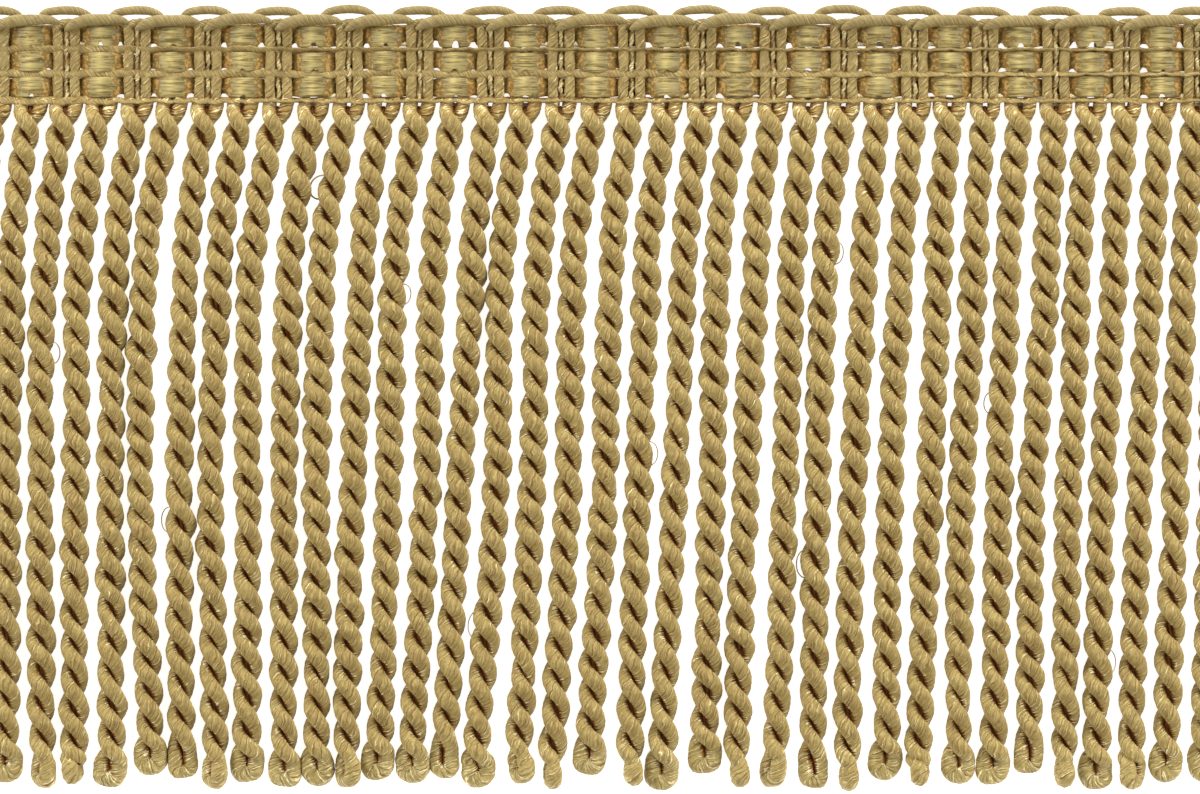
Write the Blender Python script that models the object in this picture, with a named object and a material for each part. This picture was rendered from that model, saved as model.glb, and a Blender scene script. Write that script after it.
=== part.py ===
"""Cord fringe trim: a woven heading with a looped top edge and a skirt of twisted cords.

The trim lies face up on a flat surface. X runs along the trim, +Y points from the cords'
ends up to the looped edge, and +Z points out of the face. The back of the heading and the
undersides of the cords are level at Z = 0, and the origin is under the middle of the trim.
"""

import math
import random
from collections import namedtuple

import bmesh
import bpy

MM = 0.001

# Driving dimensions of the trim
CORD_PITCH = 4.6 * MM
DROP = 102.0 * MM
HEADING_HEIGHT = 12.7 * MM
SIDE_LEAN = 1.3 * MM
PIECE_GAP = 0.3 * MM

# A twisted cord: two plies side by side where it is wide, one over the other where it is narrow
CORD_WIDE = 3.85 * MM
CORD_NARROW = 2.6 * MM
CORD_WIDE_SIDE = 1.3 * MM
CORD_WIDE_TOP = 3.55 * MM
CORD_NARROW_TOP = 3.35 * MM
CORD_CLEARANCE = 0.25 * MM
FIRST_SLOT = 3.9 * MM
TWIST_SLACKENING = 0.16

# The loop in which a cord turns back on itself at its foot
LOOP_LENGTH = 5.2 * MM
LAST_SLOT_ABOVE_FOOT = 7.0 * MM
LOOP_SIDE = 1.0 * MM
LOOP_TOP = 2.6 * MM
LOOP_TIP_BOTTOM = 0.3 * MM
LOOP_TIP_TOP = 2.1 * MM
LOOP_BELLY = 0.45
LOOP_TIP_SHARE = 0.55
END_WIDTHS = {"loop": 4.1 * MM, "bead": 4.0 * MM, "small": 3.4 * MM, "edge": 2.5 * MM}

# The narrow strip of stitches that holds the roots of the cords
STRIP_HEIGHT = 0.9 * MM
STRIP_THICKNESS = 2.3 * MM
ROOT_WIDTH = 3.7 * MM
ROOT_SIDE = 0.6 * MM
ROOT_TOP = 2.0 * MM

# The woven heading band
BAND_GROUND = 1.0 * MM
BAND_RELIEF = 1.1 * MM
PAIR_HALF_SPACING = 1.1 * MM
BLOCK_HALF_WIDTH = 1.5 * MM

# The two yarns that cross the face of the heading
YARN_WIDTH = 0.75 * MM
YARN_THICKNESS = 0.6 * MM
YARN_DIP = 0.35 * MM
YARN_TOP_SHARE = 0.6

# The two rows of loops along the top edge
FRONT_CORD_WIDTH = 1.5 * MM
FRONT_CORD_THICKNESS = 1.25 * MM
BACK_CORD_WIDTH = 1.2 * MM
BACK_CORD_THICKNESS = 1.15 * MM
FRONT_LOOP_RISE = 1.1 * MM
BACK_LOOP_RISE = 1.45 * MM
LOOP_STATIONS_PER_CORD = 3
LOOP_CORD_TOP_SHARE = 0.55

# Depths below the heading at which the lean of a cord is laid down
LEAN_STATIONS = (0.0, 12.5 * MM, 26.0 * MM, 52.0 * MM, 82.0 * MM, 86.0 * MM)
EARLY_LEAN_SHARE = 0.68

# The kinds of loop in which the cords end, from the left end of the trim to the right one
CORD_ENDS = (
    "small", "loop", "small", "edge", "loop", "loop", "bead", "small", "loop",
    "loop", "loop", "small", "loop", "loop", "bead", "loop", "small", "edge",
    "loop", "edge", "loop", "loop", "edge", "small", "bead", "edge", "loop",
    "edge", "loop", "loop", "bead", "edge", "loop", "small", "loop", "loop",
)

# How far the cords stand from straight below their roots, in mm, at even steps from the left
# end of the trim to the right one, and how far a single cord strays from that. Upper, middle,
# foot and tip are the depths 26, 52, 82 and 86 mm below the heading.
UPPER_LEANS = (-3.0, -3.5, -3.0, -3.0, -2.0, -2.0)
MIDDLE_LEANS = (-3.0, -4.0, -4.0, -3.5, -3.0, -3.0)
FOOT_LEANS = (-3.0, -3.5, -6.0, -4.5, -4.0, -3.5)
UPPER_STRAY = 0.45
MIDDLE_STRAY = 0.35
FOOT_STRAY = 0.55
TIP_STRAY = 0.3

# The longest cord's drop below the heading and how much shorter others may be, in mm. A cord
# whose loop is seen on edge reaches lower. The half turns of a cord vary a little too.
LONGEST_CORD = 89.2
SHORTER_BY = 2.3
EDGE_SHORTENING = 0.4
HALF_TURNS = (20, 21, 21, 22)
LAYOUT_SEED = 6

Cord = namedtuple("Cord", "upper middle foot tip length beads end")


def smooth_value(stations, values, at):
    """Read a smooth curve through the values at rising stations."""
    last = len(stations) - 2
    span = 0
    while span < last and at > stations[span + 1]:
        span += 1
    before = max(span - 1, 0)
    after = min(span + 2, len(stations) - 1)
    width = stations[span + 1] - stations[span]
    share = (at - stations[span]) / width
    slope_in = (values[span + 1] - values[before]) / (stations[span + 1] - stations[before])
    slope_out = (values[after] - values[span]) / (stations[after] - stations[span])
    square = share * share
    cube = square * share
    return (
        values[span] * (2 * cube - 3 * square + 1)
        + values[span + 1] * (3 * square - 2 * cube)
        + slope_in * width * (cube - 2 * square + share)
        + slope_out * width * (cube - square)
    )


def lay_out_cords():
    """Return the layout of the cords, one row for each from the left end to the right one."""
    chance = random.Random(LAYOUT_SEED)
    last = len(CORD_ENDS) - 1
    places = [last * step / (len(FOOT_LEANS) - 1) for step in range(len(FOOT_LEANS))]
    rows = []
    for index, end in enumerate(CORD_ENDS):
        upper = smooth_value(places, UPPER_LEANS, index) + chance.uniform(-UPPER_STRAY, UPPER_STRAY)
        middle = smooth_value(places, MIDDLE_LEANS, index) + chance.uniform(-MIDDLE_STRAY, MIDDLE_STRAY)
        foot = smooth_value(places, FOOT_LEANS, index) + chance.uniform(-FOOT_STRAY, FOOT_STRAY)
        tip = foot + chance.uniform(-TIP_STRAY, TIP_STRAY)
        spare = SHORTER_BY * chance.random() * (EDGE_SHORTENING if end == "edge" else 1.0)
        rows.append(Cord(upper, middle, foot, tip, LONGEST_CORD - spare, chance.choice(HALF_TURNS), end))
    return rows


CORDS = lay_out_cords()

# Places that follow from the dimensions above
CORD_COUNT = len(CORDS)
TRIM_LENGTH = CORD_COUNT * CORD_PITCH
TRIM_LEFT = SIDE_LEAN - TRIM_LENGTH / 2
HEADING_LOW = DROP / 2 - HEADING_HEIGHT
STRIP_TOP = HEADING_LOW + STRIP_HEIGHT
BAND_LOW = STRIP_TOP + PIECE_GAP
BAND_TOP = DROP / 2 - 3.1 * MM
LOWER_YARN_Y = BAND_LOW + 2.35 * MM
UPPER_YARN_Y = BAND_LOW + 5.65 * MM
FRONT_LOOP_DIP_Y = DROP / 2 - 3.1 * MM
BACK_LOOP_DIP_Y = DROP / 2 - BACK_CORD_WIDTH / 2 - BACK_LOOP_RISE

# Share of the heading's relief at each height: full inside a row, low where a yarn crosses
BAND_ROWS = (
    (BAND_LOW, 0.8),
    (BAND_LOW + 1.2 * MM, 1.0),
    (LOWER_YARN_Y, 0.55),
    (BAND_LOW + 4.0 * MM, 1.0),
    (UPPER_YARN_Y, 0.55),
    (BAND_LOW + 7.1 * MM, 1.0),
    (BAND_TOP, 0.4),
)


def clear_scene():
    """Remove whatever objects the file already holds."""
    for thing in list(bpy.data.objects):
        bpy.data.objects.remove(thing, do_unlink=True)


def make_material(name, colour, roughness):
    """Return a plain matt yarn material."""
    material = bpy.data.materials.new(name)
    material.use_nodes = True
    shader = material.node_tree.nodes["Principled BSDF"]
    shader.inputs["Base Color"].default_value = (*colour, 1.0)
    shader.inputs["Roughness"].default_value = roughness
    shader.inputs["Metallic"].default_value = 0.0
    return material


def add_object(name, mesh_builder, material):
    """Turn a finished bmesh into a named object with its material."""
    bmesh.ops.triangulate(mesh_builder, faces=mesh_builder.faces)
    bmesh.ops.recalc_face_normals(mesh_builder, faces=mesh_builder.faces)
    mesh = bpy.data.meshes.new(name)
    mesh_builder.to_mesh(mesh)
    mesh_builder.free()
    mesh.materials.append(material)
    thing = bpy.data.objects.new(name, mesh)
    bpy.context.scene.collection.objects.link(thing)
    return thing


def root_x(index):
    """Return where a cord leaves the heading."""
    return TRIM_LEFT + (index + 0.5) * CORD_PITCH


def is_pair(index):
    """Every other cord runs up the face of the heading as a bare pair of plies."""
    return index % 2 == 0


def spread_apart(places, widths):
    """Push neighbours apart, half each, until every pair of cords is clear."""
    places = list(places)
    for _ in range(200):
        for left in range(len(places) - 1):
            room = (widths[left] + widths[left + 1]) / 2 + CORD_CLEARANCE
            lack = room - (places[left + 1] - places[left])
            if lack > 0:
                places[left] -= lack / 2
                places[left + 1] += lack / 2
    return places


def cord_routes():
    """Return, for each cord, its X at each of the lean stations."""
    leans = [
        (0.0, cord.upper * EARLY_LEAN_SHARE, cord.upper, cord.middle, cord.foot, cord.tip)
        for cord in CORDS
    ]
    columns = []
    for station in range(len(LEAN_STATIONS)):
        places = [root_x(index) + leans[index][station] * MM for index in range(CORD_COUNT)]
        at_tip = station == len(LEAN_STATIONS) - 1
        widths = [END_WIDTHS[cord.end] if at_tip else CORD_WIDE for cord in CORDS]
        columns.append(spread_apart(places, widths))
    return [tuple(column[index] for column in columns) for index in range(CORD_COUNT)]


def wide_ring(width, side, top):
    """Return the three corners of a section where the plies lie side by side."""
    return ((-width / 2, side), (0.0, top), (width / 2, side))


def narrow_ring(width, bottom, top):
    """Return the three corners of a section where one ply lies over the other."""
    return ((-width / 2, top), (width / 2, top), (0.0, bottom))


def cord_sections(cord):
    """Return the sections of a cord, from below its root to the tip of its loop."""
    length = cord.length * MM
    last_slot = length - LAST_SLOT_ABOVE_FOOT
    slots = []
    for bead in range(cord.beads):
        share = bead / (cord.beads - 1)
        slackened = share * (1 - TWIST_SLACKENING * (1 - share) / 2)
        slots.append(FIRST_SLOT + (last_slot - FIRST_SLOT) * slackened)

    wide = wide_ring(CORD_WIDE, CORD_WIDE_SIDE, CORD_WIDE_TOP)
    narrow = narrow_ring(CORD_NARROW, 0.0, CORD_NARROW_TOP)
    sections = []
    above = 0.0
    for slot in slots:
        sections.append(((above + slot) / 2, narrow))
        sections.append((slot, wide))
        above = slot

    end_width = END_WIDTHS[cord.end]
    belly = wide_ring(end_width, LOOP_SIDE, LOOP_TOP)
    tip = narrow_ring(end_width * LOOP_TIP_SHARE, LOOP_TIP_BOTTOM, LOOP_TIP_TOP)
    sections.append((length - LOOP_LENGTH, narrow))
    sections.append((length - LOOP_LENGTH * LOOP_BELLY, belly))
    sections.append((length, tip))
    return sections


def bridge(builder, upper, lower):
    """Join two three-cornered rings with six triangles that turn with the twist."""
    for corner in range(3):
        following = (corner + 1) % 3
        builder.faces.new((upper[corner], upper[following], lower[corner]))
        builder.faces.new((upper[following], lower[following], lower[corner]))


def add_cord(builder, root_ring, cord, route):
    """Grow one cord down from the ring of its root in the strip."""
    ring = root_ring
    for step, (drop, corners) in enumerate(cord_sections(cord), start=1):
        turn = step // 2
        centre = smooth_value(LEAN_STATIONS, route, drop)
        ordered = [corners[(corner + turn) % 3] for corner in range(3)]
        next_ring = [
            builder.verts.new((centre + across, HEADING_LOW - drop, height))
            for across, height in ordered
        ]
        bridge(builder, ring, next_ring)
        ring = next_ring
    builder.faces.new(ring)


def build_skirt(material):
    """Build the strip of stitches with all the cords fused into its lower face."""
    builder = bmesh.new()
    routes = cord_routes()
    edges = []
    for index in range(CORD_COUNT + 1):
        x = TRIM_LEFT + index * CORD_PITCH
        edges.append({
            "low_back": builder.verts.new((x, HEADING_LOW, 0.0)),
            "low_face": builder.verts.new((x, HEADING_LOW, STRIP_THICKNESS)),
            "top_back": builder.verts.new((x, STRIP_TOP, 0.0)),
            "top_face": builder.verts.new((x, STRIP_TOP, STRIP_THICKNESS)),
        })
    for left, right in zip(edges, edges[1:]):
        builder.faces.new((left["low_back"], left["top_back"], right["top_back"], right["low_back"]))
        builder.faces.new((left["low_face"], right["low_face"], right["top_face"], left["top_face"]))
        builder.faces.new((left["top_back"], left["top_face"], right["top_face"], right["top_back"]))
    for edge in (edges[0], edges[-1]):
        builder.faces.new((edge["low_back"], edge["low_face"], edge["top_face"], edge["top_back"]))

    root = wide_ring(ROOT_WIDTH, ROOT_SIDE, ROOT_TOP)
    for index, cord in enumerate(CORDS):
        left, right = edges[index], edges[index + 1]
        ring = [builder.verts.new((root_x(index) + across, HEADING_LOW, height)) for across, height in root]
        low_left, peak, low_right = ring
        builder.faces.new((left["low_back"], left["low_face"], low_left))
        builder.faces.new((left["low_face"], peak, low_left))
        builder.faces.new((left["low_face"], right["low_face"], peak))
        builder.faces.new((right["low_face"], low_right, peak))
        builder.faces.new((right["low_face"], right["low_back"], low_right))
        builder.faces.new((right["low_back"], low_left, low_right))
        builder.faces.new((right["low_back"], left["low_back"], low_left))
        add_cord(builder, ring, cord, routes[index])
    return add_object("bullion_skirt", builder, material)


def band_profile():
    """Return X and relief along the heading: pairs of plies and satin blocks in turn."""
    profile = [(TRIM_LEFT, 0.0)]
    for index in range(CORD_COUNT):
        centre = root_x(index)
        if is_pair(index):
            profile.append((centre - PAIR_HALF_SPACING, 0.9))
            profile.append((centre, 0.15))
            profile.append((centre + PAIR_HALF_SPACING, 0.9))
        else:
            profile.append((centre - BLOCK_HALF_WIDTH, 0.85))
            profile.append((centre + BLOCK_HALF_WIDTH, 0.85))
        profile.append((TRIM_LEFT + (index + 1) * CORD_PITCH, 0.0))
    return profile


def build_band(material):
    """Build the woven heading, flat at the back and ribbed on its face."""
    builder = bmesh.new()
    profile = band_profile()
    rows = []
    for y, share in BAND_ROWS:
        rows.append([
            builder.verts.new((x, y, BAND_GROUND + relief * share * BAND_RELIEF))
            for x, relief in profile
        ])
    for lower, upper in zip(rows, rows[1:]):
        for column in range(len(profile) - 1):
            builder.faces.new((lower[column], lower[column + 1], upper[column + 1], upper[column]))

    back_low = [builder.verts.new((x, BAND_LOW, 0.0)) for x, _ in profile]
    back_top = [builder.verts.new((x, BAND_TOP, 0.0)) for x, _ in profile]
    for column in range(len(profile) - 1):
        beyond = column + 1
        builder.faces.new((back_low[column], back_top[column], back_top[beyond], back_low[beyond]))
        builder.faces.new((back_low[column], back_low[beyond], rows[0][beyond], rows[0][column]))
        builder.faces.new((back_top[beyond], back_top[column], rows[-1][column], rows[-1][beyond]))
    for end in (0, -1):
        for lower, upper in zip(rows, rows[1:]):
            builder.faces.new((back_low[end], lower[end], upper[end]))
        builder.faces.new((back_low[end], rows[-1][end], back_top[end]))
    return add_object("heading_band", builder, material)


def build_bar(name, stations, width, thickness, top_share, material):
    """Build a yarn laid along the trim, wider at its back than on its face.

    Each station is the X, the Y of the yarn's middle and the Z of its underside.
    """
    builder = bmesh.new()
    rings = []
    for x, y, z in stations:
        half_back = width / 2
        half_face = half_back * top_share
        rings.append([
            builder.verts.new((x, y - half_back, z)),
            builder.verts.new((x, y + half_back, z)),
            builder.verts.new((x, y + half_face, z + thickness)),
            builder.verts.new((x, y - half_face, z + thickness)),
        ])
    for near, far in zip(rings, rings[1:]):
        for corner in range(4):
            following = (corner + 1) % 4
            builder.faces.new((near[corner], near[following], far[following], far[corner]))
    builder.faces.new(rings[0])
    builder.faces.new(rings[-1][::-1])
    return add_object(name, builder, material)


def build_binding_yarn(name, y, material):
    """Build a yarn that crosses the heading, pressed in a little beside each rib."""
    crest = BAND_GROUND + 0.55 * BAND_RELIEF + PIECE_GAP
    stations = [(TRIM_LEFT, y, crest - YARN_DIP)]
    for index in range(CORD_COUNT):
        centre = root_x(index)
        stations.append((centre - BLOCK_HALF_WIDTH, y, crest))
        stations.append((centre + BLOCK_HALF_WIDTH, y, crest))
        stations.append((centre + CORD_PITCH / 2, y, crest - YARN_DIP))
    return build_bar(name, stations, YARN_WIDTH, YARN_THICKNESS, YARN_TOP_SHARE, material)


def build_edge_loops(name, in_front, material):
    """Build one row of edge loops: the front row arches over blocks, the back row over pairs."""
    first_pair = root_x(0)
    period = 2 * CORD_PITCH
    if in_front:
        dip_y, rise, phase = FRONT_LOOP_DIP_Y, FRONT_LOOP_RISE, 0.0
        width, thickness = FRONT_CORD_WIDTH, FRONT_CORD_THICKNESS
        underside = BAND_GROUND + 0.4 * BAND_RELIEF + PIECE_GAP
    else:
        dip_y, rise, phase = BACK_LOOP_DIP_Y, BACK_LOOP_RISE, 0.5
        width, thickness = BACK_CORD_WIDTH, BACK_CORD_THICKNESS
        underside = 0.0
    stations = []
    for step in range(CORD_COUNT * LOOP_STATIONS_PER_CORD + 1):
        x = TRIM_LEFT + step * CORD_PITCH / LOOP_STATIONS_PER_CORD
        along = (x - first_pair) / period - phase
        arch = math.sqrt(abs(math.sin(math.pi * along)))
        stations.append((x, dip_y + rise * arch, underside))
    return build_bar(name, stations, width, thickness, LOOP_CORD_TOP_SHARE, material)


def main():
    clear_scene()
    gold = make_material("gold_cord", (0.43, 0.32, 0.12), 0.6)
    satin = make_material("heading_weave", (0.46, 0.36, 0.16), 0.5)
    binding = make_material("binding_yarn", (0.40, 0.31, 0.13), 0.7)
    edging = make_material("edge_cord", (0.45, 0.34, 0.14), 0.6)
    build_skirt(gold)
    build_band(satin)
    build_binding_yarn("binding_yarn_lower", LOWER_YARN_Y, binding)
    build_binding_yarn("binding_yarn_upper", UPPER_YARN_Y, binding)
    build_edge_loops("edge_loops_front", True, edging)
    build_edge_loops("edge_loops_back", False, edging)


main()
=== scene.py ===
import math
import random
from collections import namedtuple

import bpy
import numpy as np
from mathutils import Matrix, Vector


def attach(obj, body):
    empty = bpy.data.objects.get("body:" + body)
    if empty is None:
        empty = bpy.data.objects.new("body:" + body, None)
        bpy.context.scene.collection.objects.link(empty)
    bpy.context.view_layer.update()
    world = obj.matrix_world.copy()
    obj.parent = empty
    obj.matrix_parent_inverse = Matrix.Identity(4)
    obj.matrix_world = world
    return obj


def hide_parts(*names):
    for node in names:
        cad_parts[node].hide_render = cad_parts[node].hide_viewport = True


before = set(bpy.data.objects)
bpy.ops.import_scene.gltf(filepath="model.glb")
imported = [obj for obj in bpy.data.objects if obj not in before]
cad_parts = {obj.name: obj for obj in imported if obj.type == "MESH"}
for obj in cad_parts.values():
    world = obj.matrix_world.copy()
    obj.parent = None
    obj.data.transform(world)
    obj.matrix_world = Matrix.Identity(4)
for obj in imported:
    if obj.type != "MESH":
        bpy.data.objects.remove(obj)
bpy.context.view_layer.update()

MM = 0.001
PI = math.pi

# The trim's own dimensions, in millimetres, as in the solids
CORD_PITCH = 4.6
DROP = 102.0
HEADING_HEIGHT = 12.7
SIDE_LEAN = 1.3

# The kinds of loop in which the cords end, from the left end of the trim to the right one
CORD_ENDS = (
    "small", "loop", "small", "edge", "loop", "loop", "bead", "small", "loop",
    "loop", "loop", "small", "loop", "loop", "bead", "loop", "small", "edge",
    "loop", "edge", "loop", "loop", "edge", "small", "bead", "edge", "loop",
    "edge", "loop", "loop", "bead", "edge", "loop", "small", "loop", "loop",
)

# How far the cords stand from straight below their roots, in mm, at even steps from the left
# end of the trim to the right one, and how far a single cord strays from that. Upper, middle,
# foot and tip are the depths 26, 52, 82 and 86 mm below the heading.
UPPER_LEANS = (-3.0, -3.5, -3.0, -3.0, -2.0, -2.0)
MIDDLE_LEANS = (-3.0, -4.0, -4.0, -3.5, -3.0, -3.0)
FOOT_LEANS = (-3.0, -3.5, -6.0, -4.5, -4.0, -3.5)
UPPER_STRAY = 0.45
MIDDLE_STRAY = 0.35
FOOT_STRAY = 0.55
TIP_STRAY = 0.3

# The longest cord's drop below the heading and how much shorter others may be, in mm. A cord
# whose loop is seen on edge reaches lower. The half turns of a cord vary a little too.
LONGEST_CORD = 89.2
SHORTER_BY = 2.3
EDGE_SHORTENING = 0.4
HALF_TURNS = (20, 21, 21, 22)
LAYOUT_SEED = 6

Cord = namedtuple("Cord", "upper middle foot tip length beads end")


def smooth_value(stations, values, at):
    """Read a smooth curve through the values at rising stations."""
    last = len(stations) - 2
    span = 0
    while span < last and at > stations[span + 1]:
        span += 1
    before = max(span - 1, 0)
    after = min(span + 2, len(stations) - 1)
    width = stations[span + 1] - stations[span]
    share = (at - stations[span]) / width
    slope_in = (values[span + 1] - values[before]) / (stations[span + 1] - stations[before])
    slope_out = (values[after] - values[span]) / (stations[after] - stations[span])
    square = share * share
    cube = square * share
    return (
        values[span] * (2 * cube - 3 * square + 1)
        + values[span + 1] * (3 * square - 2 * cube)
        + slope_in * width * (cube - 2 * square + share)
        + slope_out * width * (cube - square)
    )


def lay_out_cords():
    """Return the layout of the cords, one row for each from the left end to the right one."""
    chance = random.Random(LAYOUT_SEED)
    last = len(CORD_ENDS) - 1
    places = [last * step / (len(FOOT_LEANS) - 1) for step in range(len(FOOT_LEANS))]
    rows = []
    for index, end in enumerate(CORD_ENDS):
        upper = smooth_value(places, UPPER_LEANS, index) + chance.uniform(-UPPER_STRAY, UPPER_STRAY)
        middle = smooth_value(places, MIDDLE_LEANS, index) + chance.uniform(-MIDDLE_STRAY, MIDDLE_STRAY)
        foot = smooth_value(places, FOOT_LEANS, index) + chance.uniform(-FOOT_STRAY, FOOT_STRAY)
        tip = foot + chance.uniform(-TIP_STRAY, TIP_STRAY)
        spare = SHORTER_BY * chance.random() * (EDGE_SHORTENING if end == "edge" else 1.0)
        rows.append(Cord(upper, middle, foot, tip, LONGEST_CORD - spare, chance.choice(HALF_TURNS), end))
    return rows


CORDS = lay_out_cords()
LEAN_STATIONS = (0.0, 12.5, 26.0, 52.0, 82.0, 86.0)
EARLY_LEAN_SHARE = 0.68

# Two plies turn round each other in a cord
PLY_RADIUS = 0.96
HELIX_ACROSS = 0.98
PLY_SQUEEZE = 0.075
HELIX_DEEP = 0.90
CORE_RADIUS = 0.45
TIP_FLATTENING = 0.3
LOOP_SQUARENESS = (0.42, 0.66)
LOOP_SKEW = 0.16
LOOP_LUMPS = 0.07
KNOB_WAIST = 0.17
FIRST_SLOT = 4.25
ROOT_Z = 0.98
TWIST_EVENNESS = 0.04
TWIST_SLACKENING = 0.16
SLOT_JITTER = 0.22
TOUCHING = 3.75

# How a cord ends: how far its end loop's yarn stands from the middle sideways and downwards,
# that yarn's radius, how far the loop is turned from lying flat on the surface, in radians,
# the room that it takes between its neighbours, and how far above the tip the last slot, the
# last crossing and the top of the loop lie.
End = namedtuple("End", "radius drop yarn turned width slot neck shoulder")
ENDS = {
    "loop": End(1.03, 1.30, 1.22, 0.0, 4.3, 6.6, 4.6, 3.5),
    "bead": End(0.93, 1.15, 1.06, 0.20, 4.0, 8.0, 6.0, 3.4),
    "small": End(0.98, 1.15, 1.10, 0.85, 3.5, 6.5, 4.5, 3.5),
    "edge": End(0.92, 1.05, 1.12, 1.35, 2.6, 5.4, 3.6, 2.9),
}

# A yarn's filaments wind round it once in this many millimetres, in a Z twist
CORD_LAY = -2.9
UPRIGHT_LAY = -3.6
GIMP_LAY = -2.4
BINDING_LAY = -2.4

# Sizes of the yarn of the heading
UPRIGHT_SPACING = 1.10
UPRIGHT_WIDTH = 0.67
UPRIGHT_DEPTH = 0.58
UPRIGHT_FRONT_Z = 1.16
UPRIGHT_BACK_Z = 0.76

# Mesh density
CORD_ROW = 0.22
CORD_SIDES = 9
UPRIGHT_ROW = 0.2
UPRIGHT_SIDES = 10

# Places that follow from the dimensions above
CORD_COUNT = len(CORDS)
TRIM_LENGTH = CORD_COUNT * CORD_PITCH
TRIM_LEFT = SIDE_LEAN - TRIM_LENGTH / 2
HEADING_LOW = DROP / 2 - HEADING_HEIGHT
PERIOD = 2 * CORD_PITCH

# The photograph's scale and the pixel columns and rows that sizes are read from
MM_PER_PIXEL = 0.13
PHOTO_WIDTH = 1200
PHOTO_CENTRE_X = -0.55
PHOTO_CENTRE_Y = 0.065
HEADING_LOW_ROW = 103.0


def from_row(pixel_row):
    """Return the Y of one of the photograph's pixel rows."""
    return HEADING_LOW + (HEADING_LOW_ROW - pixel_row) * MM_PER_PIXEL


def root_x(index):
    """Return where a cord leaves the heading."""
    return TRIM_LEFT + (index + 0.5) * CORD_PITCH


def blend(low, high, value):
    """Rise smoothly from 0 to 1 as value goes from low to high."""
    share = np.clip((value - low) / (high - low), 0.0, 1.0)
    return share * share * (3 - 2 * share)


def from_block_middle(x):
    """Return how far each X lies from the middle of the nearest satin block."""
    return np.abs((x - root_x(1) + CORD_PITCH) % PERIOD - CORD_PITCH)


def smoothed(values, reach):
    """Smooth a row of values over reach steps to each side."""
    kernel = np.hanning(2 * reach + 1)
    return np.convolve(np.pad(values, reach, mode="edge"), kernel / kernel.sum(), mode="valid")


def smooth_through(points, samples):
    """Return a smooth curve through the points, as an array with samples in each span."""
    points = np.asarray(points, float)
    padded = np.vstack([2 * points[0] - points[1], points, 2 * points[-1] - points[-2]])
    share = np.linspace(0, 1, samples, endpoint=False)[:, None]
    pieces = []
    for span in range(len(points) - 1):
        a, b, c, d = padded[span:span + 4]
        pieces.append(0.5 * (
            2 * b + (c - a) * share + (2 * a - 5 * b + 4 * c - d) * share ** 2
            + (3 * b - a - 3 * c + d) * share ** 3
        ))
    pieces.append(points[-1:])
    return np.vstack(pieces)


def even_steps(path, step):
    """Return how far along the path evenly spaced rows lie, and the path's own distances."""
    lengths = np.linalg.norm(np.diff(path, axis=0), axis=1)
    along = np.concatenate([[0.0], np.cumsum(lengths)])
    count = max(4, int(round(along[-1] / step)))
    return np.linspace(0, along[-1], count + 1), along


def resampled(values, along, stations):
    """Read one or more columns of values at new stations along a path."""
    values = np.asarray(values, float)
    if values.ndim == 1:
        return np.interp(stations, along, values)
    return np.stack([np.interp(stations, along, column) for column in values.T], axis=1)


def moving_frame(path, start):
    """Return two directions across the path at each row, carried along it without twisting."""
    tangent = np.gradient(path, axis=0)
    tangent /= np.linalg.norm(tangent, axis=1)[:, None]
    first = np.empty_like(path)
    side = np.asarray(start, float)
    for row, ahead in enumerate(tangent):
        side = side - ahead * side.dot(ahead)
        side /= np.linalg.norm(side)
        first[row] = side
    return first, np.cross(tangent, first)


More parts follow.
